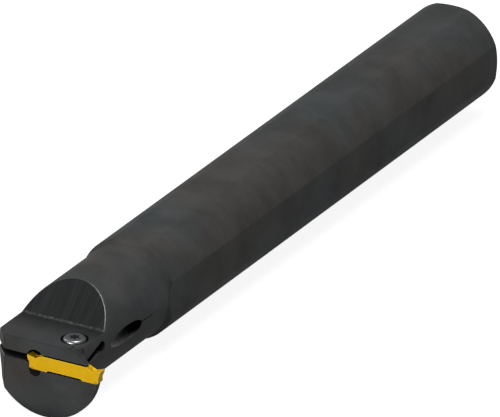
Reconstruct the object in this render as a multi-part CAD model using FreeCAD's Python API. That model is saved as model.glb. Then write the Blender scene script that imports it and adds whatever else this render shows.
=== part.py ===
"""Internal grooving tool holder: a round steel bar with a sprung clamping jaw, a double-ended
grooving insert and the clamp screw that pulls the jaw down on it. Millimetres.

Frame: origin at the centre of the rear face. +Y leaves the rear face along the bar, +Z is
normal to the top flat and to the insert's rake face, +X is the way the cutting edge points.
"""
import FreeCAD, Part
import math
import os

# Bar
overall_length = 250.0
shank_diameter = 32.0
across_flats = 30.0
rear_chamfer = 1.5
head_diameter = 29.8
head_length = 52.0
step_length = 1.5

# Front blade, the thin disc that enters the groove
blade_margin = 3.36
blade_edge_gap = 0.94
blade_drop = 0.76
blade_thickness = 2.1
blade_root_fillet = 1.2
left_chamfer_start = -10.9
left_chamfer_angle = 45.0

# Insert, measured from its own cutting edge at the height of the bar's axis
edge_reach = 22.0
insert_length = 25.0
cutting_width = 3.0
insert_body_width = 2.3
insert_land_height = 0.45
insert_depth = 4.27
insert_foot_length = 5.2
insert_recess_depth = 0.49
flank_height = 0.9
flank_relief = 0.25
heel_height = 2.2
heel_relief = 0.8
foot_chamfer = 0.5
side_taper = 0.15
cutting_head_length = 3.2
chip_former_length = 4.8
chip_former_low = 0.65
chip_former_low_place = 2.7
dimple_radius = 0.8
dimple_depth = 0.22
cutting_corner_radius = 0.3
rake_land_width = 0.25
vee_half_width = 0.7
vee_depth = 0.42

# Seat of the insert
seat_clearance = 0.02
jaw_land_gap = 0.55
pocket_side_clearance = 0.1
stop_land_height = 1.2
stop_relief = 1.2
corner_relief_radius = 1.9
corner_relief_place = 1.7
corner_relief_drop = 0.35
arch_radius = 2.85
arch_place = 2.6
arch_top = 2.1
ridge_end_gap = 0.5

# Clamping jaw and the slit that frees it
jaw_top = 4.8
jaw_underside = 0.05
jaw_land_depth = 1.8
bevel_start = 11.2
bevel_angle = 33.0
bevel_cutter_radius = 0.4
slit_front_height = 2.15
slit_floor_angle = 12.0
relief_hole_depth = 13.1
relief_hole_height = 1.4
relief_hole_radius = 1.6

# Chip gullet behind the jaw
wall_foot_depth = 15.2
wall_foot_angle = 38.0
wall_top_angle = 80.0
wall_radius = 65.0
wall_foot_fillet = 0.8
rim_chamfer = 0.25
hand_chamfer = 0.15

# Clamp screw
screw_place = 8.8
screw_depth = 7.4
screw_radius = 1.98
screw_hole_clearance = 0.05
jaw_hole_clearance = 0.3
screw_head_diameter = 7.0
screw_head_height = 2.2
screw_head_proud = 0.62
screw_rim_radius = 1.0
screw_length = 10.5
screw_end_chamfer = 0.5
counterbore_clearance = 0.6
socket_width = 3.35
socket_waist = 2.4
socket_lobe_radius = 0.27
socket_depth = 1.5
blind_hole_spare = 1.5

# Coolant way
inlet_radius = 5.9
inlet_length = 14.0
channel_radius = 3.25
channel_end_depth = 80.0
outlet_radius = 2.45
outlet_mouth_depth = 26.9
outlet_drop = 0.2
drill_point_angle = 118.0

# Working allowances: how far a cutter starts outside the metal, how deep an added ridge is
# rooted in it, and how closely an edge is matched to its place
cutter_lead = 1.0
ridge_root = 0.3
edge_match = 0.01

# Worked out from the sizes above
insert_proud = (cutting_width - insert_body_width) / 2
front_y = insert_proud - overall_length
reach = 2 * shank_diameter
head_radius = head_diameter / 2
blade_radius = head_radius + blade_margin
blade_offset = edge_reach - blade_edge_gap - blade_radius
seat_floor = -(insert_depth + seat_clearance)
pocket_ceiling = insert_land_height + jaw_land_gap
pocket_depth = insert_body_width + insert_proud + pocket_side_clearance
insert_mid_depth = insert_body_width / 2
insert_mid_place = edge_reach - insert_length / 2
insert_rear = edge_reach - insert_length
stop_place = insert_rear + heel_relief - seat_clearance
counterbore_floor = jaw_top + screw_head_proud - screw_head_height
slit_floor_front = jaw_underside - slit_front_height
slit_floor_slope = math.tan(math.radians(slit_floor_angle))
slit_roof_end = relief_hole_height + relief_hole_radius
slit_roof_slope = (slit_roof_end - jaw_underside) / (relief_hole_depth - jaw_land_depth)
bevel_slope = math.tan(math.radians(bevel_angle))
drill_point_slope = math.tan(math.radians(drill_point_angle / 2))
outlet_slope = head_radius / (channel_end_depth - outlet_mouth_depth)

X_AXIS = FreeCAD.Vector(1, 0, 0)
Y_AXIS = FreeCAD.Vector(0, 1, 0)
Z_AXIS = FreeCAD.Vector(0, 0, 1)


def at(x, depth, z):
    """A point given by its depth behind the holder's front plane."""
    return FreeCAD.Vector(x, front_y + depth, z)


def face(points):
    return Part.Face(Part.makePolygon(points + [points[0]]))


def across(profile, x_low, x_high):
    """A solid across the bar from an outline of (depth, z) points."""
    return face([at(x_low, d, z) for d, z in profile]).extrude(X_AXIS * (x_high - x_low))


def inward(profile, depth_low, depth_high):
    """A solid along the bar from an outline of (x, z) points."""
    flat = face([at(x, depth_low, z) for x, z in profile])
    return flat.extrude(Y_AXIS * (depth_high - depth_low))


def turned(profile):
    """A solid of revolution about the bar's axis from (radius, y) points."""
    flat = face([FreeCAD.Vector(r, y, 0) for r, y in profile])
    return flat.revolve(FreeCAD.Vector(0, 0, 0), Y_AXIS, 360)


def drilled(radius, mouth, direction, depth):
    """A drilled hole: a cylinder with a drill point beyond its full depth."""
    hole = Part.makeCylinder(radius, depth, mouth, direction)
    tip = mouth + direction * depth
    point = Part.makeCone(radius, 0, radius / drill_point_slope, tip, direction)
    return hole.fuse(point)


def bar_blank():
    """Shank with its flats, the step cone and the reduced head."""
    shank_radius = shank_diameter / 2
    step_y = front_y + head_length
    shank = turned([
        (0, step_y),
        (head_radius, step_y),
        (shank_radius, step_y + step_length),
        (shank_radius, -rear_chamfer),
        (shank_radius - rear_chamfer, 0),
        (0, 0),
    ])
    corner = FreeCAD.Vector(-across_flats / 2, step_y, -across_flats / 2)
    shank = shank.common(Part.makeBox(across_flats, -step_y, across_flats, corner))
    head = Part.makeCylinder(head_radius, head_length, at(0, 0, 0), Y_AXIS)
    disc = Part.makeCylinder(
        blade_radius, blade_thickness, at(blade_offset, 0, -blade_drop), Y_AXIS)
    rims = [edge for edge in disc.Edges if isinstance(edge.Curve, Part.Circle)]
    disc = disc.makeChamfer(hand_chamfer, rims)
    front = head.fuse(disc)
    root = [
        edge for edge in front.Edges
        if abs(edge.BoundBox.YMin - at(0, blade_thickness, 0).y) < edge_match
        and edge.BoundBox.YLength < edge_match
        and abs(edge.Curve.Radius - head_radius) < edge_match
    ]
    front = front.makeFillet(blade_root_fillet, root)
    return front.fuse(shank)


def left_chamfer():
    """The bar's left front corner is cut back so that it clears the bore being grooved."""
    slope = math.tan(math.radians(left_chamfer_angle))
    outline = [
        at(left_chamfer_start + cutter_lead * slope, -cutter_lead, -reach),
        at(left_chamfer_start - reach * slope, reach, -reach),
        at(left_chamfer_start - reach * slope, -cutter_lead, -reach),
    ]
    return face(outline).extrude(Z_AXIS * (2 * reach))


def gullet():
    """Space over the jaw, with a hollow milled wall behind it that clears the chips."""
    def wall_point(degrees):
        angle = math.radians(degrees)
        low = math.radians(wall_foot_angle)
        run = wall_radius * (math.sin(angle) - math.sin(low))
        rise = wall_radius * (math.cos(low) - math.cos(angle))
        return at(-reach, wall_foot_depth + run, jaw_top + rise)

    foot = wall_point(wall_foot_angle)
    middle = wall_point((wall_foot_angle + wall_top_angle) / 2)
    top = wall_point(wall_top_angle)
    corners = [
        top,
        FreeCAD.Vector(top.x, top.y, top.z + reach),
        at(-reach, -reach, jaw_top + reach),
        at(-reach, -reach, jaw_top),
        foot,
    ]
    sides = [Part.LineSegment(a, b).toShape() for a, b in zip(corners, corners[1:])]
    outline = Part.Wire([Part.Arc(foot, middle, top).toShape()] + sides)
    return Part.Face(outline).extrude(X_AXIS * (2 * reach))


def break_wall_rim(body):
    """A small chamfer where the hollow wall runs out through the round of the head."""
    foot_y = at(0, wall_foot_depth, 0).y
    rim = [
        edge for edge in body.Edges
        if abs(edge.BoundBox.YMin - foot_y) < edge_match
        and abs(edge.BoundBox.ZMin - jaw_top) < edge_match
        and edge.BoundBox.ZLength > rim_chamfer
    ]
    return body.makeChamfer(rim_chamfer, rim)


def wall_foot(space):
    """The fillet between the jaw's top and the wall, kept inside the chamfered rim."""
    foot = at(-reach, wall_foot_depth, jaw_top)
    foot_edge = [
        edge for edge in space.Edges
        if edge.BoundBox.XLength > reach
        and abs(edge.BoundBox.YMin - foot.y) < edge_match
        and abs(edge.BoundBox.ZMin - foot.z) < edge_match
    ]
    corner = space.cut(space.makeFillet(wall_foot_fillet, foot_edge))
    core = Part.makeCylinder(head_radius - rim_chamfer, head_length, at(0, 0, 0), Y_AXIS)
    return corner.common(core)


def slit():
    """The cut that frees the jaw, and the round hole it ends in."""
    outline = [
        (-cutter_lead, slit_floor_front - slit_floor_slope * cutter_lead),
        (relief_hole_depth, slit_floor_front + slit_floor_slope * relief_hole_depth),
        (relief_hole_depth, slit_roof_end),
        (jaw_land_depth, jaw_underside),
        (-cutter_lead, jaw_underside),
    ]
    cut = across(outline, -reach, reach)
    hole = Part.makeCylinder(
        relief_hole_radius, 2 * reach, at(-reach, relief_hole_depth, relief_hole_height), X_AXIS)
    return cut.fuse(hole)


def insert_pocket():
    """Seat of the insert, open to the front and to the right, with its end stop."""
    stop_top = seat_floor + stop_land_height
    outline = [
        (stop_place, seat_floor),
        (reach, seat_floor),
        (reach, pocket_ceiling),
        (stop_place - stop_relief + arch_place, pocket_ceiling),
        (stop_place - stop_relief, jaw_underside),
        (stop_place - stop_relief, slit_floor_front),
        (stop_place, stop_top),
    ]
    pocket = inward(outline, -cutter_lead, pocket_depth)
    cutter_length = cutter_lead + pocket_depth
    corner = at(
        stop_place + corner_relief_place, -cutter_lead, seat_floor - corner_relief_drop)
    corner_relief = Part.makeCylinder(corner_relief_radius, cutter_length, corner, Y_AXIS)
    over_floor = Part.makeBox(
        reach, 2 * reach, reach, at(-reach / 2, -reach, seat_floor + corner_relief_drop))
    arch_middle = at(insert_rear + arch_place, -cutter_lead, arch_top - arch_radius)
    arch = Part.makeCylinder(arch_radius, cutter_length, arch_middle, Y_AXIS)
    under_jaw = Part.makeBox(
        reach, 2 * reach, reach, at(-reach / 2, -reach, jaw_underside - reach))
    return pocket.fuse(corner_relief.cut(over_floor)).fuse(arch.cut(under_jaw))


def vee(base, height, x_low, x_high, stem=0.0):
    """A ridge along X with a stem and a three-sided crest. A negative height points down."""
    foot = base - math.copysign(stem, height)
    outline = [
        (insert_mid_depth - vee_half_width, foot),
        (insert_mid_depth - vee_half_width, base),
        (insert_mid_depth, base + height),
        (insert_mid_depth + vee_half_width, base),
        (insert_mid_depth + vee_half_width, foot),
    ]
    return across(outline, x_low, x_high)


def seat_ridges():
    """The two ridges that hold the insert sideways, one on the seat and one under the jaw."""
    low_start = stop_place + corner_relief_place + corner_relief_radius + ridge_end_gap
    low_end = edge_reach - heel_relief - foot_chamfer - ridge_end_gap
    low = vee(seat_floor, vee_depth, low_start, low_end, ridge_root)
    high_start = insert_rear + arch_place + arch_radius + ridge_end_gap
    high_end = bevel_start + (jaw_top - pocket_ceiling) / bevel_slope - ridge_end_gap
    land = insert_land_height + seat_clearance
    stem = jaw_land_gap - seat_clearance + ridge_root
    high = vee(land, -vee_depth, high_start, high_end, stem)
    return low, high


def jaw_bevel():
    """The blade's part of the jaw slopes down to the insert, behind it the jaw is full."""
    floor = (jaw_underside + slit_floor_front) / 2
    outline = [
        (bevel_start - cutter_lead / bevel_slope, jaw_top + cutter_lead),
        (bevel_start + (jaw_top - floor) / bevel_slope, floor),
        (reach, floor),
        (reach, jaw_top + cutter_lead),
    ]
    depth = blade_thickness + blade_root_fillet
    tool = inward(outline, -cutter_lead, depth)
    inner_corner = [
        edge for edge in tool.Edges
        if abs(edge.BoundBox.YMin - at(0, depth, 0).y) < edge_match
        and edge.BoundBox.XLength > edge_match and edge.BoundBox.ZLength > edge_match
    ]
    return tool.makeFillet(bevel_cutter_radius, inner_corner)


def screw_hole():
    """Counterbore and clearance hole in the jaw, tapping hole in the bar below the slit."""
    counterbore_radius = screw_head_diameter / 2 + counterbore_clearance
    counterbore = Part.makeCylinder(
        counterbore_radius, reach, at(screw_place, screw_depth, counterbore_floor), Z_AXIS)
    mouth_chamfer = Part.makeCone(
        counterbore_radius, counterbore_radius + 2 * hand_chamfer, 2 * hand_chamfer,
        at(screw_place, screw_depth, jaw_top - hand_chamfer), Z_AXIS)
    clearance_radius = screw_radius + jaw_hole_clearance
    floor_behind = slit_floor_front + slit_floor_slope * (screw_depth + clearance_radius)
    roof_before = jaw_underside + slit_roof_slope * (
        screw_depth - clearance_radius - jaw_land_depth)
    in_slit = at(screw_place, screw_depth, (floor_behind + roof_before) / 2)
    clearance = Part.makeCylinder(clearance_radius, reach, in_slit, Z_AXIS)
    mouth = at(screw_place, screw_depth, counterbore_floor)
    tapped = drilled(
        screw_radius + screw_hole_clearance, mouth, -Z_AXIS, screw_length + blind_hole_spare)
    return counterbore.fuse(mouth_chamfer).fuse(clearance).fuse(tapped)


def coolant_way():
    """Threaded inlet, a long bore on the axis and a slanted outlet towards the cutting edge."""
    rear = FreeCAD.Vector(0, 0, 0)
    inlet = drilled(inlet_radius, rear, -Y_AXIS, inlet_length)
    channel_length = -front_y - channel_end_depth
    channel = drilled(channel_radius, rear, -Y_AXIS, channel_length)
    start = at(0, channel_end_depth, 0)
    through = at(head_radius, outlet_mouth_depth, -outlet_drop)
    direction = through - start
    length = direction.Length + 2 * outlet_radius / outlet_slope
    direction.normalize()
    outlet = Part.makeCylinder(outlet_radius, length, start, direction)
    return inlet.fuse(channel).fuse(outlet)


def exposed_edges(body):
    """Edges that are broken by hand: the straight ones of the front outside the insert's seat,
    of the jaw's top and of the left chamfer, and the two round ends of the slit's floor."""
    chamfer_slope = math.tan(math.radians(left_chamfer_angle))
    seat_start = stop_place - stop_relief

    def depth(point):
        return point.y - front_y

    def on_front(ends, box):
        in_seat = box.XMin > seat_start - edge_match and box.ZMax < arch_top + edge_match
        return box.YMax < front_y + edge_match and not in_seat

    def on_jaw_top(ends, box):
        level = abs(box.ZMin - jaw_top) < edge_match and box.ZLength < edge_match
        return level and box.YMax < at(0, wall_foot_depth - wall_foot_fillet, 0).y

    def on_left_chamfer(ends, box):
        return box.ZMax > seat_floor and all(
            abs(end.x - left_chamfer_start + chamfer_slope * depth(end)) < edge_match
            for end in ends)

    def on_slit_floor(ends):
        return all(
            abs(end.z - slit_floor_front - slit_floor_slope * depth(end)) < edge_match
            and abs(math.hypot(end.x, end.z) - head_radius) < edge_match
            for end in ends)

    picked = []
    for edge in body.Edges:
        ends = [vertex.Point for vertex in edge.Vertexes]
        if isinstance(edge.Curve, Part.Line):
            rules = (on_front, on_jaw_top, on_left_chamfer)
            if any(rule(ends, edge.BoundBox) for rule in rules):
                picked.append(edge)
        elif isinstance(edge.Curve, Part.Ellipse) and on_slit_floor(ends):
            picked.append(edge)
    return picked


def holder_body():
    space = gullet()
    body = break_wall_rim(bar_blank().cut(left_chamfer()).cut(space))
    body = body.fuse(wall_foot(space))
    for tool in (slit(), insert_pocket(), jaw_bevel()):
        body = body.cut(tool)
    for ridge in seat_ridges():
        body = body.fuse(ridge)
    body = body.cut(screw_hole()).cut(coolant_way()).removeSplitter()
    return body.makeChamfer(hand_chamfer, exposed_edges(body))


def insert_plan(z, end_half_width):
    """Plan outline of the insert: a parallel body whose two cutting heads flare out."""
    half = insert_body_width / 2
    right = edge_reach
    left = edge_reach - insert_length
    outline = [
        (left, -end_half_width), (left + cutting_head_length, -half),
        (right - cutting_head_length, -half), (right, -end_half_width),
        (right, end_half_width), (right - cutting_head_length, half),
        (left + cutting_head_length, half), (left, end_half_width),
    ]
    points = [at(x, insert_mid_depth + off, z) for x, off in outline]
    return Part.makePolygon(points + [points[0]])


def insert_side():
    """Side outline of the insert, the same from both ends."""
    half = insert_length / 2
    foot_end = half - heel_relief - foot_chamfer
    foot_start = foot_end - insert_foot_length
    right_half = [
        (half - chip_former_length, insert_land_height),
        (half - chip_former_low_place, -chip_former_low),
        (half - rake_land_width, 0),
        (half, 0),
        (half - flank_relief, -flank_height),
        (half - heel_relief, -heel_height),
        (half - heel_relief, foot_chamfer - insert_depth),
        (foot_end, -insert_depth),
        (foot_start, -insert_depth),
        (foot_start - insert_recess_depth, insert_recess_depth - insert_depth),
    ]
    left_half = [(-x, z) for x, z in reversed(right_half)]
    return [(insert_mid_place + x, z) for x, z in right_half + left_half]


def chip_dimple(end):
    """The ball-shaped hollow at the bottom of a chip former, at the right or the left end."""
    ball_radius = (dimple_radius ** 2 + dimple_depth ** 2) / (2 * dimple_depth)
    place = insert_mid_place + end * (insert_length / 2 - chip_former_low_place)
    height = ball_radius - dimple_depth - chip_former_low
    return Part.makeSphere(ball_radius, at(place, insert_mid_depth, height))


def grooving_insert():
    top = insert_plan(insert_land_height, cutting_width / 2)
    low = insert_plan(-insert_depth, cutting_width / 2 - side_taper)
    plan = Part.makeLoft([top, low], True, True)
    corners = [
        edge for edge in plan.Edges
        if edge.BoundBox.XLength < edge_match and edge.BoundBox.ZLength > insert_depth
        and abs(abs(edge.BoundBox.XMin - insert_mid_place) - insert_length / 2) < edge_match
    ]
    plan = plan.makeFillet(cutting_corner_radius, corners)
    side = inward(insert_side(), -cutting_width, 2 * cutting_width)
    insert = plan.common(side)
    for end in (-1, 1):
        insert = insert.cut(chip_dimple(end))
    high_groove = vee(
        insert_land_height, -vee_depth, insert_rear + chip_former_low_place,
        edge_reach - chip_former_low_place, seat_clearance)
    low_groove = vee(-insert_depth, vee_depth, -reach, reach, seat_clearance)
    return insert.cut(high_groove).cut(low_groove).removeSplitter()


def socket_outline(z):
    """Six rounded lobes joined by six hollow flutes, each arc tangent to the next."""
    lobe_middle = socket_width / 2 - socket_lobe_radius
    waist = socket_waist / 2
    cosine = math.cos(math.radians(30))
    flute_radius = (
        (socket_lobe_radius ** 2 - lobe_middle ** 2 - waist ** 2
         + 2 * cosine * lobe_middle * waist)
        / (2 * waist - 2 * cosine * lobe_middle - 2 * socket_lobe_radius))
    flute_middle = waist + flute_radius
    axis = at(screw_place, screw_depth, z)

    def polar(radius, degrees):
        angle = math.radians(degrees)
        return axis + FreeCAD.Vector(radius * math.cos(angle), radius * math.sin(angle), 0)

    def joint(lobe_angle, flute_angle):
        middle = polar(lobe_middle, lobe_angle)
        way = polar(flute_middle, flute_angle) - middle
        way.normalize()
        return middle + way * socket_lobe_radius

    arcs = []
    for lobe in range(6):
        angle = 60 * lobe
        before = joint(angle, angle - 30)
        after = joint(angle, angle + 30)
        following = joint(angle + 60, angle + 30)
        arcs.append(Part.Arc(before, polar(socket_width / 2, angle), after).toShape())
        arcs.append(Part.Arc(after, polar(waist, angle + 30), following).toShape())
    return Part.Wire(arcs)


def clamp_screw():
    head_low = counterbore_floor + seat_clearance
    head_high = head_low + screw_head_height
    tip = head_low - screw_length
    radius = screw_head_diameter / 2
    axis = at(screw_place, screw_depth, 0)

    def point(r, z):
        return axis + FreeCAD.Vector(r, 0, z)

    round_off = screw_rim_radius * math.sqrt(0.5)
    rim = Part.Arc(
        point(radius, head_high - screw_rim_radius),
        point(radius - screw_rim_radius + round_off, head_high - screw_rim_radius + round_off),
        point(radius - screw_rim_radius, head_high)).toShape()
    corners = [
        point(radius - screw_rim_radius, head_high), point(0, head_high), point(0, tip),
        point(screw_radius - screw_end_chamfer, tip),
        point(screw_radius, tip + screw_end_chamfer), point(screw_radius, head_low),
        point(radius, head_low), point(radius, head_high - screw_rim_radius),
    ]
    sides = [Part.LineSegment(a, b).toShape() for a, b in zip(corners, corners[1:])]
    outline = Part.Wire([rim] + sides)
    screw = Part.Face(outline).revolve(axis, Z_AXIS, 360)
    socket = Part.Face(socket_outline(head_high - socket_depth)).extrude(Z_AXIS * reach)
    return screw.cut(socket)


def main():
    os.makedirs("parts", exist_ok=True)
    nodes = {
        "holder_body": holder_body(),
        "grooving_insert": grooving_insert(),
        "clamp_screw": clamp_screw(),
    }
    for name, shape in nodes.items():
        solids = shape.Solids
        if len(solids) != 1 or not shape.isValid():
            raise ValueError(f"{name}: {len(solids)} solids, valid {shape.isValid()}")
        solids[0].exportStep(f"parts/{name}.step")
        box = shape.BoundBox
        print(name, round(shape.Volume, 1), [round(v, 2) for v in (
            box.XMin, box.XMax, box.YMin, box.YMax, box.ZMin, box.ZMax)])


main()
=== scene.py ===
import math

import bmesh
import bpy
from mathutils import Matrix, Vector


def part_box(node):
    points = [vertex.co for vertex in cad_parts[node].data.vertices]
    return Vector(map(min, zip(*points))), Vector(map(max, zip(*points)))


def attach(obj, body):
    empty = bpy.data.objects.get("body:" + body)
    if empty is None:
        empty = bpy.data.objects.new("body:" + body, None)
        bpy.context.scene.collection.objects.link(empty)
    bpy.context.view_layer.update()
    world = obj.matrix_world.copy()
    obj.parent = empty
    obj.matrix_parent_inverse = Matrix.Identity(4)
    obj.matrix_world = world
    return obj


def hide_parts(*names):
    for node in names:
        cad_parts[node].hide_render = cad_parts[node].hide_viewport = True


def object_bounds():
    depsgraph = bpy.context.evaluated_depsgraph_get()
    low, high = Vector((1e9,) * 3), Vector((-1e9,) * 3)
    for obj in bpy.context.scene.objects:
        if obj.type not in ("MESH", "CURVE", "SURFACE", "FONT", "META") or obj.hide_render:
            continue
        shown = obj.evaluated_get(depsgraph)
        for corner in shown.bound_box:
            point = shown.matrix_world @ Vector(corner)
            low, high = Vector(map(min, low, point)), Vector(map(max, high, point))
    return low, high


bl_info = {
    "name": "Internal grooving tool holder",
    "version": (1, 0, 0),
    "blender": (4, 5, 0),
    "location": "View3D > Sidebar > Grooving holder",
    "description": "Finishes, screw thread, inlet thread and stage for an internal grooving bar",
    "category": "Object",
}

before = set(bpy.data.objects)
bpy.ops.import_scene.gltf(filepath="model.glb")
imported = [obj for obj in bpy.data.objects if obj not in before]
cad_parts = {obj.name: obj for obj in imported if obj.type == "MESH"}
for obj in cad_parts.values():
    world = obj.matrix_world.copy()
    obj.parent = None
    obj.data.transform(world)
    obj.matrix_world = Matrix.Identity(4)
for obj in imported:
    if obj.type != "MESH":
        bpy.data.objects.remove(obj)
CAD_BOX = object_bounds()

MILLIMETRE = 0.001

BAR_NODE = "holder_body"
INSERT_NODE = "grooving_insert"
SCREW_NODE = "clamp_screw"

# Shank, head and inlet
SHANK_RADIUS = 16.0 * MILLIMETRE
HEAD_RADIUS = 14.9 * MILLIMETRE
HEAD_LENGTH = 52.0 * MILLIMETRE
HEAD_SKIN = 0.25 * MILLIMETRE
INLET_RADIUS = 5.9 * MILLIMETRE
INLET_LENGTH = 14.0 * MILLIMETRE

# Blade, with its middle and radius as seen from the front
FRONT_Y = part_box(BAR_NODE)[0].y
BLADE_THICKNESS = 2.1 * MILLIMETRE
BLADE_ROOT = 3.4 * MILLIMETRE
BLADE_MIDDLE = (2.8 * MILLIMETRE, -0.76 * MILLIMETRE)
BLADE_RADIUS = 18.26 * MILLIMETRE
BLADE_RIM = 0.3 * MILLIMETRE
BLADE_BACK_RADIUS = HEAD_RADIUS - 3.0 * MILLIMETRE

# Jaw, gullet wall and slit, as depths behind the front, heights and places along X
JAW_TOP = 4.8 * MILLIMETRE
# Depths where the painted shade on the jaw's top starts and is darkest
JAW_SHADE_START = 6.0 * MILLIMETRE
JAW_SHADE_END = 15.0 * MILLIMETRE
WALL_START = 13.0 * MILLIMETRE
WALL_RIM_RADIUS = 14.0 * MILLIMETRE
# Height of the painted highlight along the wall's foot
FOOT_HIGHLIGHT_HEIGHT = JAW_TOP + 0.35 * MILLIMETRE
BEVEL_LOW = 0.9 * MILLIMETRE
BEVEL_START = 11.0 * MILLIMETRE
LEFT_CHAMFER_END = -10.0 * MILLIMETRE
SLIT_FLOOR = -1.7 * MILLIMETRE
SLIT_FLOOR_RISE = 0.6 * MILLIMETRE
SLIT_EDGE = -10.8 * MILLIMETRE

# Widest chamfer, and how far from an edge the chamfers made by hand reach
CHAMFER_WIDTH = 0.4 * MILLIMETRE
HAND_CHAMFER = 0.2 * MILLIMETRE

# Clamp screw
SCREW_LOW, SCREW_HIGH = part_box(SCREW_NODE)
SCREW_AXIS = (SCREW_LOW + SCREW_HIGH) / 2
SCREW_HEAD_HEIGHT = 2.2 * MILLIMETRE
SCREW_RADIUS = 1.98 * MILLIMETRE
SOCKET_RADIUS = 1.75 * MILLIMETRE

# Threads: steps in a turn, half widths of the ridge as shares of the pitch, and how far the
# ridge is sunk in its root surface
THREAD_STEPS = 40
RIDGE_BASE = 0.42
RIDGE_TOP = 0.09
RIDGE_SINK = 0.05 * MILLIMETRE

# Distances in metres under which points are merged, and places taken as the same
MERGE_DISTANCE = 1e-7
MATCH = 2e-5

# Angles that still count as flat, and from which an edge is sharp
FLAT_ANGLE = math.radians(0.4)
SHARP_ANGLE = math.radians(50)

# Least share of a normal along an axis for a face that is square to it, exactly or nearly
SQUARE = 0.999
NEARLY_SQUARE = 0.99

# Least share of a normal away from the bar's axis on the head's round and behind the head,
# and the largest share along the bar on a round
HEAD_OUTWARD = 0.97
SHANK_OUTWARD = 0.3
ROUND_ALONG = 0.02

# Levels of the milled faces: on the whole, and at the foot of the wall as a share of that, where
# painted shade darkens the jaw's top
MILLED_LEVEL = 0.75
FOOT_SHADE_SHARE = 0.42

# How far the finishes look for corners and hollows, where they paint shade
BAR_SHADE_REACH = 7.0 * MILLIMETRE
CAVITY_SHADE_REACH = 5.0 * MILLIMETRE
INSERT_SHADE_REACH = 1.2 * MILLIMETRE

# Cutter marks: scale of their pattern along each axis, depth in millimetres, and contrast
TURNED_MARKS = ((20.0, 900.0, 20.0), 0.008, 0.06)
GROUND_MARKS = ((300.0, 18.0, 300.0), 0.002, 0.03)
MILLED_MARKS = ((160.0, 160.0, 160.0), 0.003, 0.05)

# Level, metallic share and roughness of the screw, its socket, darkened as painted shade, and
# its oiled thread
SCREW_LOOK = (1.0, 0.9, 0.33)
SOCKET_SHADE_LOOK = (0.08, 0.0, 0.7)
THREAD_LOOK = (0.5, 0.9, 0.33)

# The bar's materials, in the order of the indices of its faces
BAR_FINISHES = ("turned", "ground", "milled", "gullet", "shaded_cavity", "edge")

# Camera, fitted to the photograph's parallel view
LENS = 1400.0
SENSOR = 36.0
CAMERA_AZIMUTH = 30.0832
CAMERA_ELEVATION = 24.9886
CAMERA_ROLL = -0.1169
CAMERA_DISTANCE = 5.8034
CAMERA_TARGET = Vector((-0.00037, -0.12364, -0.00316))

# Stage: the floor's half side, its colour, its light as seen and as reflected, and the
# lamps, each with its name, place from the bar's middle, size and watts
FLOOR_HALF = 6.0
FLOOR_COLOUR = 0.25
FLOOR_GLOW = 0.9
FLOOR_REFLECTED = 0.2
WORLD_LEVEL = 0.22
SOFTBOXES = (
    ("key_lamp", (0.35, -0.2, 1.55), (0.5, 0.9), 21.0),
    ("front_lamp", (-0.25, -1.6, 0.3), (0.8, 0.5), 20.0),
    ("left_lamp", (-1.2, 0.0, 1.0), (0.6, 1.2), 4.0),
)


def colour_property(name, description, default):
    return bpy.props.FloatVectorProperty(
        name=name, description=description, subtype="COLOR", size=3, min=0, max=1,
        default=default)


def length_property(name, description, millimetres):
    return bpy.props.FloatProperty(
        name=name, description=description, default=millimetres * MILLIMETRE, min=0.0,
        unit="LENGTH", precision=5)


class HolderFinishes(bpy.types.PropertyGroup):
    """Colours of the three materials."""

    oxide: colour_property("Black oxide", "Colour of the blackened steel", (0.050, 0.051, 0.051))
    oxide_cool: colour_property(
        "Cool patches", "Bluish patches in the black oxide", (0.047, 0.051, 0.0525))
    oxide_warm: colour_property(
        "Warm patches", "Brownish patches in the black oxide", (0.0515, 0.0495, 0.0475))
    # Painted shade: the gullet's wall gets a darker colour than the oxide
    wall: colour_property(
        "Gullet wall", "Colour of the deeply blackened gullet", (0.0145, 0.015, 0.0155))
    # Painted shade: the dark colour of bores and slit
    shaded_cavity: colour_property(
        "Bores and slit", "Colour of the oxide where no light was", (0.012, 0.012, 0.012))
    # Colour of the steel at worn edges, and of the painted highlights
    worn_and_highlight: colour_property(
        "Worn edges", "Colour of the steel that shows at the edges", (0.20, 0.20, 0.20))
    gold: colour_property("Gold coating", "Colour of the insert's coating", (0.62, 0.36, 0.005))
    # Painted highlight colour for the insert's edges
    gold_highlight: colour_property(
        "Gold at the edges", "Colour of the coating at honed edges", (0.95, 0.66, 0.08))
    steel: colour_property("Screw steel", "Colour of the bright screw", (0.24, 0.25, 0.26))


class HolderSizes(bpy.types.PropertyGroup):
    """Small forms that the construction leaves to the finish."""

    # Reach of the edge wear, which is in part a painted highlight
    edge_wear_and_highlight_reach: length_property("Edge wear", "Reach of the wear at the bar's edges", 0.16)
    # Reach of the painted highlight at the insert's edges
    insert_highlight_reach: length_property("Insert hone", "Reach of the insert's honed edges", 0.22)
    screw_pitch: length_property("Screw pitch", "Pitch of the clamp screw's thread", 0.7)
    screw_depth: length_property("Screw thread depth", "Depth of the screw's thread", 0.38)
    inlet_pitch: length_property("Inlet pitch", "Pitch of the coolant inlet's thread", 1.337)
    inlet_depth: length_property("Inlet thread depth", "Depth of the inlet's thread", 0.65)


def settings():
    return bpy.context.scene.grooving_finishes, bpy.context.scene.grooving_sizes


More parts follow.
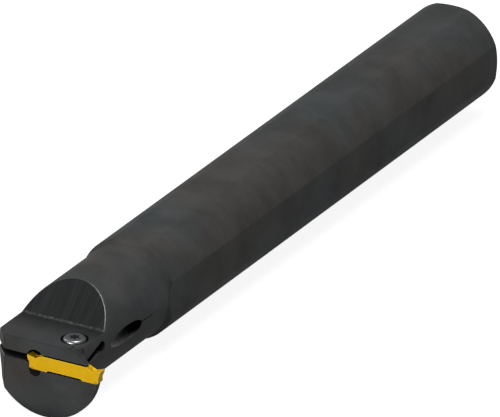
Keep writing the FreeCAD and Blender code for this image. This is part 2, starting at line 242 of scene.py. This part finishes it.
class Shading:
    """A material's node tree, with short calls for the nodes that the finishes use."""

    def __init__(self, name):
        self.material = bpy.data.materials.new(name)
        self.material.use_nodes = True
        self.tree = self.material.node_tree
        self.tree.nodes.clear()
        self.place = self.node("ShaderNodeTexCoord").outputs["Object"]

    def node(self, kind, **sockets):
        made = self.tree.nodes.new(kind)
        for name, value in sockets.items():
            self.put(made.inputs[name.replace("_", " ")], value)
        return made

    def put(self, socket, value):
        if isinstance(value, bpy.types.NodeSocket):
            self.tree.links.new(value, socket)
        else:
            socket.default_value = value

    def mapped(self, scale, place=None):
        """Coordinates in a pattern that is stretched along the axes with a small scale."""
        made = self.node("ShaderNodeMapping", Vector=place or self.place, Scale=scale)
        return made.outputs["Vector"]

    def noise(self, scale, detail=2.0, roughness=0.5, place=None):
        made = self.node(
            "ShaderNodeTexNoise", Vector=place or self.place, Scale=scale, Detail=detail,
            Roughness=roughness)
        return made.outputs["Fac"]

    def spread(self, value, low, high, to_low=0.0, to_high=1.0):
        """The value's range from low to high, carried over to another range."""
        made = self.tree.nodes.new("ShaderNodeMapRange")
        for name, number in (
                ("Value", value), ("From Min", low), ("From Max", high),
                ("To Min", to_low), ("To Max", to_high)):
            self.put(made.inputs[name], number)
        return made.outputs["Result"]

    def mix(self, share, first, second, blend="MIX"):
        made = self.tree.nodes.new("ShaderNodeMix")
        made.data_type = "RGBA"
        made.blend_type = blend
        for socket, value in zip(colour_inputs(made), (share, first, second)):
            self.put(socket, as_colour(value))
        return [out for out in made.outputs if out.type == "RGBA"][0]

    def maths(self, operation, *values):
        made = self.tree.nodes.new("ShaderNodeMath")
        made.operation = operation
        for socket, value in zip(made.inputs, values):
            self.put(socket, value)
        return made.outputs["Value"]

    def along(self, axis):
        """The distance along one axis of the bar, in metres."""
        return self.node("ShaderNodeSeparateXYZ", Vector=self.place).outputs[axis]

    def corners(self, reach):
        """Ambient occlusion for painted shade: 1 on open faces, towards 0 in corners and hollows
        within the reach.
        """
        made = self.node("ShaderNodeAmbientOcclusion", Distance=reach)
        made.samples = 8
        return made.outputs["AO"]

    def edges(self, reach, low=0.004, high=0.09):
        """1 where the surface turns sharply within the reach, 0 elsewhere."""
        rounded = self.node("ShaderNodeBevel", Radius=reach)
        rounded.samples = 6
        true = self.tree.nodes.new("ShaderNodeNewGeometry")
        dot = self.tree.nodes.new("ShaderNodeVectorMath")
        dot.operation = "DOT_PRODUCT"
        self.put(dot.inputs[0], rounded.outputs["Normal"])
        self.put(dot.inputs[1], true.outputs["Normal"])
        return self.spread(self.maths("SUBTRACT", 1.0, dot.outputs["Value"]), low, high)

    def bump(self, height, distance, strength=1.0, normal=None):
        made = self.node(
            "ShaderNodeBump", Height=height, Distance=distance, Strength=strength)
        if normal is not None:
            self.put(made.inputs["Normal"], normal)
        return made.outputs["Normal"]

    def surface(self, **sockets):
        made = self.tree.nodes.new("ShaderNodeBsdfPrincipled")
        for name, value in sockets.items():
            self.put(made.inputs[name.replace("_", " ")], as_colour(value))
        output = self.tree.nodes.new("ShaderNodeOutputMaterial")
        self.tree.links.new(made.outputs["BSDF"], output.inputs["Surface"])
        return self.material


def colour_inputs(node):
    """The factor and the two colours of a mixing node."""
    factor = node.inputs["Factor"]
    first, second = [socket for socket in node.inputs if socket.type == "RGBA"]
    return factor, first, second


def as_colour(value):
    """A colour of three numbers gets its fourth. Anything else stays as it is."""
    if isinstance(value, (bpy.types.NodeSocket, int, float)):
        return value
    return (*value, 1.0) if len(value) == 3 else value


def cloudy_oxide(shade, base):
    """Base colour with broad cool and warm clouds, and finer light and dark ones."""
    colours, _ = settings()
    clouds = shade.spread(shade.noise(38.0, 3.0, 0.55), 0.40, 0.62)
    drift = shade.spread(shade.noise(24.0, 2.0, 0.5, shade.mapped((1.0, 1.0, 2.0))), 0.45, 0.62)
    tint = shade.mix(clouds, tuple(base), tuple(colours.oxide_cool))
    tint = shade.mix(drift, tint, tuple(colours.oxide_warm))
    fine_clouds = shade.spread(shade.noise(85.0, 4.0, 0.6), 0.35, 0.65, 0.84, 1.14)
    return shade.mix(1.0, tint, fine_clouds, "MULTIPLY")


def milled_level_and_foot_shade(shade):
    """Level of the milled faces, with painted shade that darkens the jaw's top towards the foot
    of the wall.
    """
    start, end = FRONT_Y + JAW_SHADE_START, FRONT_Y + JAW_SHADE_END
    return shade.spread(
        shade.along("Y"), start, end, MILLED_LEVEL, FOOT_SHADE_SHARE * MILLED_LEVEL)


def black_oxide(name, marks, mark_depth, contrast, level=None):
    """Blackened steel with cutter marks stretched as marks says, painted shade in corners, and
    worn edges lightened in part as painted highlights.
    """
    colours, sizes = settings()
    shade = Shading(name)
    tint = cloudy_oxide(shade, colours.oxide)
    # The level, where one is given, multiplies the colour; the milled one carries painted shade
    if level is not None:
        tint = shade.mix(1.0, tint, level(shade), "MULTIPLY")
    lines = shade.noise(1.0, 3.0, 0.6, shade.mapped(marks))
    grain = shade.spread(lines, 0.3, 0.7, 1.0 - contrast, 1.0 + contrast)
    # Painted shade: ambient occlusion darkens corners and hollows
    corner = shade.spread(shade.corners(BAR_SHADE_REACH), 0.35, 0.92, 0.25, 1.0)
    tint = shade.mix(1.0, tint, shade.maths("MULTIPLY", grain, corner), "MULTIPLY")
    # Edge wear, lightened in part as a painted highlight along the edges
    wear = shade.maths(
        "MULTIPLY", shade.edges(sizes.edge_wear_and_highlight_reach),
        shade.spread(shade.noise(700.0, 2.0, 0.6), 0.35, 0.65, 0.0, 0.25))
    tint = shade.mix(wear, tint, tuple(colours.worn_and_highlight))
    rough = shade.spread(shade.noise(60.0, 3.0, 0.6), 0.3, 0.7, 0.44, 0.60)
    normal = shade.bump(lines, mark_depth * MILLIMETRE)
    normal = shade.bump(shade.noise(2600.0, 2.0, 0.6), 0.004 * MILLIMETRE, 1.0, normal)
    return shade.surface(
        Base_Color=tint, Metallic=0.0, Roughness=rough, Normal=normal,
        Specular_IOR_Level=0.07)


def gullet_oxide():
    """The milled gullet: deep black as painted shade, with streaks down the wall and a painted
    highlight along its foot.
    """
    colours, sizes = settings()
    shade = Shading("black_oxide_gullet")
    streaks = shade.noise(1.0, 4.0, 0.65, shade.mapped((1800.0, 60.0, 60.0)))
    broad = shade.noise(1.0, 2.0, 0.5, shade.mapped((260.0, 14.0, 14.0)))
    grain = shade.maths(
        "MULTIPLY", shade.spread(streaks, 0.32, 0.68, 0.72, 1.28),
        shade.spread(broad, 0.35, 0.65, 0.86, 1.10))
    # Painted shade: the wall's dark colour, with the streaks
    tint = shade.mix(1.0, tuple(colours.wall), grain, "MULTIPLY")
    # Painted highlight: a wavy, broken light line along the wall's foot
    wave = shade.spread(
        shade.noise(1.0, 2.0, 0.5, shade.mapped((420.0, 0.0, 0.0))), 0.3, 0.7, -0.12, 0.12)
    height = shade.maths("SUBTRACT", shade.along("Z"), FOOT_HIGHLIGHT_HEIGHT)
    off = shade.maths(
        "ABSOLUTE", shade.maths("ADD", height, shade.maths("MULTIPLY", wave, MILLIMETRE)))
    line = shade.spread(off, 0.05 * MILLIMETRE, 0.34 * MILLIMETRE, 1.0, 0.0)
    broken = shade.spread(
        shade.noise(1.0, 3.0, 0.7, shade.mapped((600.0, 0.0, 0.0))), 0.38, 0.65, 0.0, 0.28)
    tint = shade.mix(shade.maths("MULTIPLY", line, broken), tint, tuple(colours.worn_and_highlight))
    # Edge wear on the gullet, partly a painted highlight
    tint = shade.mix(
        shade.maths("MULTIPLY", shade.edges(sizes.edge_wear_and_highlight_reach), 0.4), tint, tuple(colours.worn_and_highlight))
    return shade.surface(
        Base_Color=tint, Metallic=0.05, Roughness=0.55, Specular_IOR_Level=0.06,
        Normal=shade.bump(streaks, 0.012 * MILLIMETRE))


def cavity_painted_shade():
    """Slit, pocket and bores, as painted shade: dark, dull and darker still with depth."""
    colours, _ = settings()
    shade = Shading("black_oxide_cavity_shade")
    patches = shade.spread(shade.noise(500.0, 3.0, 0.6), 0.3, 0.7, 0.8, 1.2)
    # Painted shade: darker deep in hollows, lighter towards their mouths
    open_sky = shade.maths("POWER", shade.corners(CAVITY_SHADE_REACH), 5.0)
    level = shade.spread(open_sky, 0.0, 0.6, 0.1, 9.0)
    tint = shade.mix(
        1.0, tuple(colours.shaded_cavity), shade.maths("MULTIPLY", patches, level), "MULTIPLY")
    return shade.surface(
        Base_Color=tint, Metallic=0.0, Roughness=0.7, Specular_IOR_Level=0.08,
        Normal=shade.bump(patches, 0.006 * MILLIMETRE))


def edge_highlight():
    """Chamfers with a painted highlight: the wall's rim on the right, and the slit's floor."""
    colours, _ = settings()
    shade = Shading("edge_highlight")
    patches = shade.spread(shade.noise(900.0, 3.0, 0.65), 0.35, 0.65, 0.55, 1.15)
    # Painted highlight: stronger to the right and high on the rim, full along the slit's floor
    side = shade.spread(shade.along("X"), 2.0 * MILLIMETRE, 8.0 * MILLIMETRE, 0.0, 0.6)
    low = shade.spread(shade.along("Z"), 5.0 * MILLIMETRE, 9.0 * MILLIMETRE, 0.35, 1.0)
    slit = shade.spread(shade.along("Z"), 1.0 * MILLIMETRE, 0.0, 0.0, 1.0)
    side = shade.maths("MAXIMUM", shade.maths("MULTIPLY", side, low), slit)
    share = shade.maths("MULTIPLY", patches, side)
    tint = shade.mix(share, tuple(colours.oxide), tuple(colours.worn_and_highlight))
    return shade.surface(
        Base_Color=tint, Metallic=0.4, Roughness=0.38, Specular_IOR_Level=0.4)


def gold_coating():
    """Coated carbide: fine sintered grain, with a painted highlight at the honed edges and
    painted shade in the grooves.
    """
    colours, sizes = settings()
    shade = Shading("gold_coated_carbide")
    patches = shade.spread(shade.noise(420.0, 3.0, 0.6), 0.3, 0.7, 0.93, 1.05)
    # Painted shade in the grooves, from ambient occlusion
    corner = shade.spread(shade.corners(INSERT_SHADE_REACH), 0.2, 0.85, 0.45, 1.0)
    tint = shade.mix(
        1.0, tuple(colours.gold), shade.maths("MULTIPLY", patches, corner), "MULTIPLY")
    # Painted highlight along the edges
    tint = shade.mix(
        shade.maths("MULTIPLY", shade.edges(sizes.insert_highlight_reach), 0.8), tint,
        tuple(colours.gold_highlight))
    pits = shade.noise(5200.0, 3.0, 0.65)
    rough = shade.spread(pits, 0.3, 0.7, 0.36, 0.52)
    return shade.surface(
        Base_Color=tint, Metallic=0.2, Roughness=rough,
        Normal=shade.bump(pits, 0.006 * MILLIMETRE),
        Specular_IOR_Level=0.2, Specular_Tint=(1.0, 0.8, 0.35))


def screw_steel(name, level, metallic, roughness):
    """Bright turned steel, at a lower level as painted shade in the socket, and on the oiled
    thread.
    """
    colours, _ = settings()
    shade = Shading(name)
    mark = shade.noise(1.0, 2.0, 0.5, shade.mapped((300.0, 300.0, 4000.0)))
    grain = shade.spread(mark, 0.3, 0.7, 0.92 * level, 1.06 * level)
    tint = shade.mix(1.0, tuple(colours.steel), grain, "MULTIPLY")
    return shade.surface(
        Base_Color=tint, Metallic=metallic, Roughness=roughness,
        Specular_IOR_Level=0.5 * metallic, Normal=shade.bump(mark, 0.001 * MILLIMETRE))


def merged_copy(node):
    """A copy of a node's mesh with its loose triangles joined and its flat faces whole."""
    mesh = bmesh.new()
    mesh.from_mesh(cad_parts[node].data)
    bmesh.ops.remove_doubles(mesh, verts=mesh.verts, dist=MERGE_DISTANCE)
    bmesh.ops.dissolve_limit(
        mesh, angle_limit=FLAT_ANGLE, verts=mesh.verts, edges=mesh.edges)
    return mesh


def add_piece(name, mesh, body, materials):
    """Makes the finished mesh a piece that moves with its body, smooth up to sharp edges."""
    data = bpy.data.meshes.new(name)
    mesh.to_mesh(data)
    mesh.free()
    for material in materials:
        data.materials.append(material)
    data.polygons.foreach_set("use_smooth", [True] * len(data.polygons))
    data.set_sharp_from_angle(angle=SHARP_ANGLE)
    piece = bpy.data.objects.new(name, data)
    bpy.context.scene.collection.objects.link(piece)
    weighted = piece.modifiers.new("flat_faces_rule", "WEIGHTED_NORMAL")
    weighted.keep_sharp = True
    weighted.weight = 90
    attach(piece, body)
    return piece


def fix_normals(piece, rounds):
    """Keeps the modifier's normals in the mesh, with those of the faces whose indices are in
    rounds pointing straight out from the bar's axis."""
    graph = bpy.context.evaluated_depsgraph_get()
    data = bpy.data.meshes.new_from_object(piece.evaluated_get(graph))
    normals = [corner.vector.copy() for corner in data.corner_normals]
    for polygon in data.polygons:
        if polygon.index in rounds:
            for corner in polygon.loop_indices:
                place = data.vertices[data.loops[corner].vertex_index].co
                normals[corner] = Vector((place.x, 0.0, place.z)).normalized()
    piece.modifiers.clear()
    old, piece.data = piece.data, data
    bpy.data.meshes.remove(old)
    data.normals_split_custom_set(normals)


def helix_ridge(middle, axis, root, crest, pitch, start, end):
    """A closed thread ridge about an axis, from start to end along it. Its base is sunk a
    little in its root surface, and its crest may lie inside or outside the root."""
    side = Vector((0.0, 0.0, 1.0)) if abs(axis.y) > 0.5 else Vector((1.0, 0.0, 0.0))
    sink = math.copysign(RIDGE_SINK, root - crest)
    base, top = pitch * RIDGE_BASE, pitch * RIDGE_TOP
    mesh = bmesh.new()
    corners = ((root + sink, -base), (crest, -top), (crest, top), (root + sink, base))
    profile = [
        mesh.verts.new(middle + side * radius + axis * (start + offset))
        for radius, offset in corners]
    ring = [mesh.edges.new(pair) for pair in zip(profile, profile[1:] + profile[:1])]
    turns = (end - start) / pitch
    steps = max(int(turns * THREAD_STEPS), 1)
    bmesh.ops.spin(
        mesh, geom=profile + ring, cent=middle, axis=axis, dvec=axis * (end - start) / steps,
        angle=turns * 2 * math.pi, steps=steps, use_merge=False, use_duplicate=False)
    bmesh.ops.holes_fill(mesh, edges=[e for e in mesh.edges if e.is_boundary], sides=4)
    bmesh.ops.recalc_face_normals(mesh, faces=mesh.faces)
    return mesh


def outwardness(face):
    """How far a face looks away from the bar's axis: 1 straight out, -1 straight in."""
    middle, normal = face.calc_center_bounds(), face.normal
    radius = math.hypot(middle.x, middle.z)
    return (middle.x * normal.x + middle.z * normal.z) / max(radius, MERGE_DISTANCE)


def shank_finish(face):
    """Finish of a face behind the head: flats, round, cone, rear face, bore and inlet."""
    outward = outwardness(face)
    if max(abs(face.normal.x), abs(face.normal.z)) > SQUARE:
        return "ground" if outward > 0 else "shaded_cavity"
    if outward > SHANK_OUTWARD or face.calc_center_bounds().y > -MATCH:
        return "turned"
    return "shaded_cavity"


def on_blade(face, depth):
    """Whether a face is on the blade's rim, and whether it is on its back."""
    middle = face.calc_center_bounds()
    radius = math.hypot(middle.x - BLADE_MIDDLE[0], middle.z - BLADE_MIDDLE[1])
    on_rim = depth < BLADE_THICKNESS and radius > BLADE_RADIUS - BLADE_RIM
    on_back = depth < BLADE_ROOT and face.normal.y > 0.1 and radius > BLADE_BACK_RADIUS
    return on_rim, on_back


def is_bevel(face, depth):
    """Whether a face is on the bevel at the jaw's front corner, or on the step behind it."""
    middle, normal = face.calc_center_bounds(), face.normal
    if depth >= BLADE_ROOT or middle.z <= BEVEL_LOW:
        return False
    slope = normal.z > 0.5 and normal.x > 0.4
    return slope or normal.y < -0.2 and middle.x > BEVEL_START


def bar_finish(face):
    """Which finish a face of the bar has, from its place and the way it looks."""
    middle, normal = face.calc_center_bounds(), face.normal
    depth = middle.y - FRONT_Y
    radius = math.hypot(middle.x, middle.z)
    narrow = 2 * face.calc_area() / face.calc_perimeter() < CHAMFER_WIDTH
    if depth > HEAD_LENGTH - MATCH:
        return shank_finish(face)
    if depth < MATCH and normal.y < -NEARLY_SQUARE:
        return "milled"
    on_rim, on_back = on_blade(face, depth)
    if on_rim:
        return "turned"
    # The slit floor's left edge takes the painted edge highlight
    if narrow and abs(middle.z - SLIT_FLOOR) < SLIT_FLOOR_RISE and middle.x < SLIT_EDGE:
        return "edge"
    on_left_chamfer = max(normal.x, normal.y) < -0.6 and abs(normal.z) < 0.2
    if on_left_chamfer and depth < 2 * BLADE_ROOT:
        return "milled"
    if on_back:
        return "turned"
    # The wall's rim takes the painted edge highlight, the wall the gullet's painted shade
    if middle.z > JAW_TOP - MATCH and depth > WALL_START and normal.y < -0.05:
        return "edge" if narrow and radius > WALL_RIM_RADIUS else "gullet"
    if abs(middle.z - JAW_TOP) < MATCH and normal.z > NEARLY_SQUARE:
        return "milled"
    if radius > HEAD_RADIUS - HEAD_SKIN and outwardness(face) > HEAD_OUTWARD:
        return "turned"
    if is_bevel(face, depth):
        return "milled"
    # Painted shade: hand chamfers at the front and the jaw's top take the gullet's dark colour
    if narrow and (depth < HAND_CHAMFER or middle.z > JAW_TOP - HAND_CHAMFER):
        return "gullet"
    if narrow and normal.x < -0.5 and normal.y < -0.3 and middle.x < LEFT_CHAMFER_END:
        return "milled"
    return "shaded_cavity"


def is_round(face):
    """Whether a face lies on the round of the head or of the shank."""
    radii = [math.hypot(vertex.co.x, vertex.co.z) for vertex in face.verts]
    on_head = all(abs(radius - HEAD_RADIUS) < MATCH for radius in radii)
    on_shank = all(abs(radius - SHANK_RADIUS) < MATCH for radius in radii)
    along_bar = abs(face.normal.y) < ROUND_ALONG
    flat = max(abs(face.normal.x), abs(face.normal.z)) >= 0.9999
    return along_bar and (on_head or on_shank) and not flat


def open_inlet(mesh, depth):
    """The inlet's bore goes out to the thread's root, so that the ridge ends at the bore."""
    for vertex in mesh.verts:
        radius = math.hypot(vertex.co.x, vertex.co.z)
        if abs(radius - INLET_RADIUS) < MATCH and vertex.co.y > -INLET_LENGTH - MATCH:
            vertex.co.x *= (radius + depth) / radius
            vertex.co.z *= (radius + depth) / radius


def thin_shank(mesh, head_low, root):
    """Takes the screw's shank in to the thread's root."""
    for vertex in mesh.verts:
        side = Vector((vertex.co.x - SCREW_AXIS.x, vertex.co.y - SCREW_AXIS.y, 0.0))
        if vertex.co.z < head_low + MATCH and root < side.length < SCREW_RADIUS + MATCH:
            vertex.co -= side * (1 - root / side.length)


def in_socket(face):
    """Whether a face of the screw is a wall or the floor of its socket."""
    middle = face.calc_center_bounds()
    near = math.hypot(middle.x - SCREW_AXIS.x, middle.y - SCREW_AXIS.y) < SOCKET_RADIUS
    wall = abs(face.normal.z) < 0.9
    floor = face.normal.z > 0.9 and middle.z < SCREW_HIGH.z - MATCH
    return near and (wall or floor)


class GROOVING_OT_bar(bpy.types.Operator):
    """Blackened bar with its turned, ground and milled faces, and the inlet's thread"""

    bl_idname = "grooving.bar"
    bl_label = "Bar"

    def execute(self, context):
        _, sizes = settings()
        mesh = merged_copy(BAR_NODE)
        for face in mesh.faces:
            face.material_index = BAR_FINISHES.index(bar_finish(face))
        open_inlet(mesh, sizes.inlet_depth)
        finishes = [
            black_oxide("black_oxide_turned", *TURNED_MARKS),
            black_oxide("black_oxide_ground", *GROUND_MARKS),
            black_oxide("black_oxide_milled", *MILLED_MARKS, milled_level_and_foot_shade),
            gullet_oxide(),
            cavity_painted_shade(),
            edge_highlight(),
        ]
        rounds = {face.index for face in mesh.faces if is_round(face)}
        bar = add_piece("bar", mesh, "holder", finishes)
        fix_normals(bar, rounds)
        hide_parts(BAR_NODE)
        ridge = helix_ridge(
            Vector((0.0, 0.0, 0.0)), Vector((0.0, -1.0, 0.0)), INLET_RADIUS + sizes.inlet_depth,
            INLET_RADIUS, sizes.inlet_pitch, sizes.inlet_pitch, INLET_LENGTH - sizes.inlet_pitch)
        add_piece(
            "coolant_inlet_thread", ridge, "holder", [finishes[4]])
        return {"FINISHED"}


class GROOVING_OT_insert(bpy.types.Operator):
    """Gold coated insert"""

    bl_idname = "grooving.insert"
    bl_label = "Insert"

    def execute(self, context):
        insert = add_piece(
            "insert", merged_copy(INSERT_NODE), "insert",
            [gold_coating()])
        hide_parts(INSERT_NODE)
        return {"FINISHED"}


class GROOVING_OT_screw(bpy.types.Operator):
    """Clamp screw with its six-lobe socket and its thread"""

    bl_idname = "grooving.screw"
    bl_label = "Clamp screw"

    def execute(self, context):
        _, sizes = settings()
        head_low = SCREW_HIGH.z - SCREW_HEAD_HEIGHT
        root = SCREW_RADIUS - sizes.screw_depth
        mesh = merged_copy(SCREW_NODE)
        thin_shank(mesh, head_low, root)
        for face in mesh.faces:
            face.material_index = int(in_socket(face))
        screw = add_piece(
            "screw", mesh, "screw",
            [screw_steel("screw_steel", *SCREW_LOOK),
             screw_steel("socket_shaded_steel", *SOCKET_SHADE_LOOK)])
        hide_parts(SCREW_NODE)
        top = Vector((SCREW_AXIS.x, SCREW_AXIS.y, head_low))
        length = head_low - SCREW_LOW.z
        ridge = helix_ridge(
            top, Vector((0.0, 0.0, -1.0)), root, SCREW_RADIUS, sizes.screw_pitch,
            sizes.screw_pitch, length - sizes.screw_pitch)
        add_piece(
            "screw_thread", ridge, "screw",
            [screw_steel("thread_steel", *THREAD_LOOK)])
        return {"FINISHED"}


def camera_basis():
    """Right, up and back of the camera, from its azimuth, elevation and roll."""
    azimuth = math.radians(CAMERA_AZIMUTH)
    elevation = math.radians(CAMERA_ELEVATION)
    back = Vector((
        math.sin(azimuth) * math.cos(elevation),
        -math.cos(azimuth) * math.cos(elevation),
        math.sin(elevation),
    ))
    level = Vector((math.cos(azimuth), math.sin(azimuth), 0.0))
    turned = Matrix.Rotation(math.radians(CAMERA_ROLL), 3, back)
    right = turned @ level
    return right, back.cross(right), back


def add_camera():
    """The camera that gives the photograph's view."""
    right, up, back = camera_basis()
    view = bpy.data.cameras.new("view")
    view.lens = LENS
    view.sensor_width = SENSOR
    view.clip_start = 1.0
    view.clip_end = 30.0
    camera = bpy.data.objects.new("view", view)
    turn = Matrix((right, up, back)).transposed().to_4x4()
    camera.matrix_world = Matrix.Translation(CAMERA_TARGET + back * CAMERA_DISTANCE) @ turn
    bpy.context.scene.collection.objects.link(camera)
    bpy.context.scene.camera = camera


def add_softbox(name, place, size, power):
    """A rectangular area lamp that points at the middle of the bar."""
    lamp = bpy.data.lights.new(name, "AREA")
    lamp.shape = "RECTANGLE"
    lamp.size, lamp.size_y = size
    lamp.energy = power
    box = bpy.data.objects.new(name, lamp)
    middle = (CAD_BOX[0] + CAD_BOX[1]) / 2
    box.location = middle + Vector(place)
    box.rotation_euler = Vector(place).to_track_quat("Z", "Y").to_euler()
    bpy.context.scene.collection.objects.link(box)


def add_floor():
    """A pale floor at the bar's lowest point, which seems white to the camera."""
    low, high = CAD_BOX
    mesh = bmesh.new()
    bmesh.ops.create_grid(mesh, x_segments=1, y_segments=1, size=FLOOR_HALF)
    bmesh.ops.translate(mesh, verts=mesh.verts, vec=(0.0, (low.y + high.y) / 2, low.z))
    data = bpy.data.meshes.new("floor")
    mesh.to_mesh(data)
    mesh.free()
    floor = bpy.data.objects.new("floor", data)
    bpy.context.scene.collection.objects.link(floor)
    shade = Shading("floor")
    path = shade.tree.nodes.new("ShaderNodeLightPath")
    seen = shade.maths(
        "MAXIMUM", path.outputs["Is Camera Ray"], path.outputs["Is Transmission Ray"])
    seen = shade.maths("MULTIPLY", seen, FLOOR_GLOW)
    reflected = shade.maths("MULTIPLY", path.outputs["Is Glossy Ray"], FLOOR_REFLECTED)
    glow = shade.maths("MAXIMUM", seen, reflected)
    data.materials.append(shade.surface(
        Base_Color=(FLOOR_COLOUR, FLOOR_COLOUR, FLOOR_COLOUR), Roughness=1.0,
        Specular_IOR_Level=0.0, Emission_Color=(1.0, 1.0, 1.0), Emission_Strength=glow))


def add_world():
    """White as seen, and dimmer as a light on the bar."""
    world = bpy.data.worlds.new("studio")
    bpy.context.scene.world = world
    world.use_nodes = True
    tree = world.node_tree
    background = tree.nodes["Background"]
    background.inputs["Color"].default_value = (1.0, 1.0, 1.0, 1.0)
    path = tree.nodes.new("ShaderNodeLightPath")
    seen = tree.nodes.new("ShaderNodeMath")
    seen.operation = "MAXIMUM"
    tree.links.new(path.outputs["Is Camera Ray"], seen.inputs[0])
    tree.links.new(path.outputs["Is Transmission Ray"], seen.inputs[1])
    level = tree.nodes.new("ShaderNodeMapRange")
    tree.links.new(seen.outputs["Value"], level.inputs["Value"])
    level.inputs["To Min"].default_value = WORLD_LEVEL
    level.inputs["To Max"].default_value = 1.0
    tree.links.new(level.outputs["Result"], background.inputs["Strength"])


class GROOVING_OT_stage(bpy.types.Operator):
    """Pale floor, soft studio light and the camera"""

    bl_idname = "grooving.stage"
    bl_label = "Stage"

    def execute(self, context):
        context.scene.view_settings.view_transform = "Standard"
        add_floor()
        add_world()
        for name, place, size, power in SOFTBOXES:
            add_softbox(name, place, size, power)
        add_camera()
        return {"FINISHED"}


OPERATORS = (GROOVING_OT_bar, GROOVING_OT_insert, GROOVING_OT_screw, GROOVING_OT_stage)


class GROOVING_PT_panel(bpy.types.Panel):
    """Lists the sizes, colours and pieces of the holder"""

    bl_idname = "GROOVING_PT_panel"
    bl_label = "Grooving holder"
    bl_space_type = "VIEW_3D"
    bl_region_type = "UI"
    bl_category = "Grooving holder"

    def draw(self, context):
        for group in (context.scene.grooving_sizes, context.scene.grooving_finishes):
            box = self.layout.box()
            for name in group.__annotations__:
                box.prop(group, name)
        for operator in OPERATORS:
            self.layout.operator(operator.bl_idname)


CLASSES = (HolderFinishes, HolderSizes, *OPERATORS, GROOVING_PT_panel)


def register():
    for item in CLASSES:
        bpy.utils.register_class(item)
    bpy.types.Scene.grooving_finishes = bpy.props.PointerProperty(type=HolderFinishes)
    bpy.types.Scene.grooving_sizes = bpy.props.PointerProperty(type=HolderSizes)


def unregister():
    del bpy.types.Scene.grooving_sizes
    del bpy.types.Scene.grooving_finishes
    for item in reversed(CLASSES):
        bpy.utils.unregister_class(item)


def main():
    register()
    bpy.ops.grooving.bar()
    bpy.ops.grooving.insert()
    bpy.ops.grooving.screw()
    bpy.ops.grooving.stage()


if __name__ == "__main__":
    main()
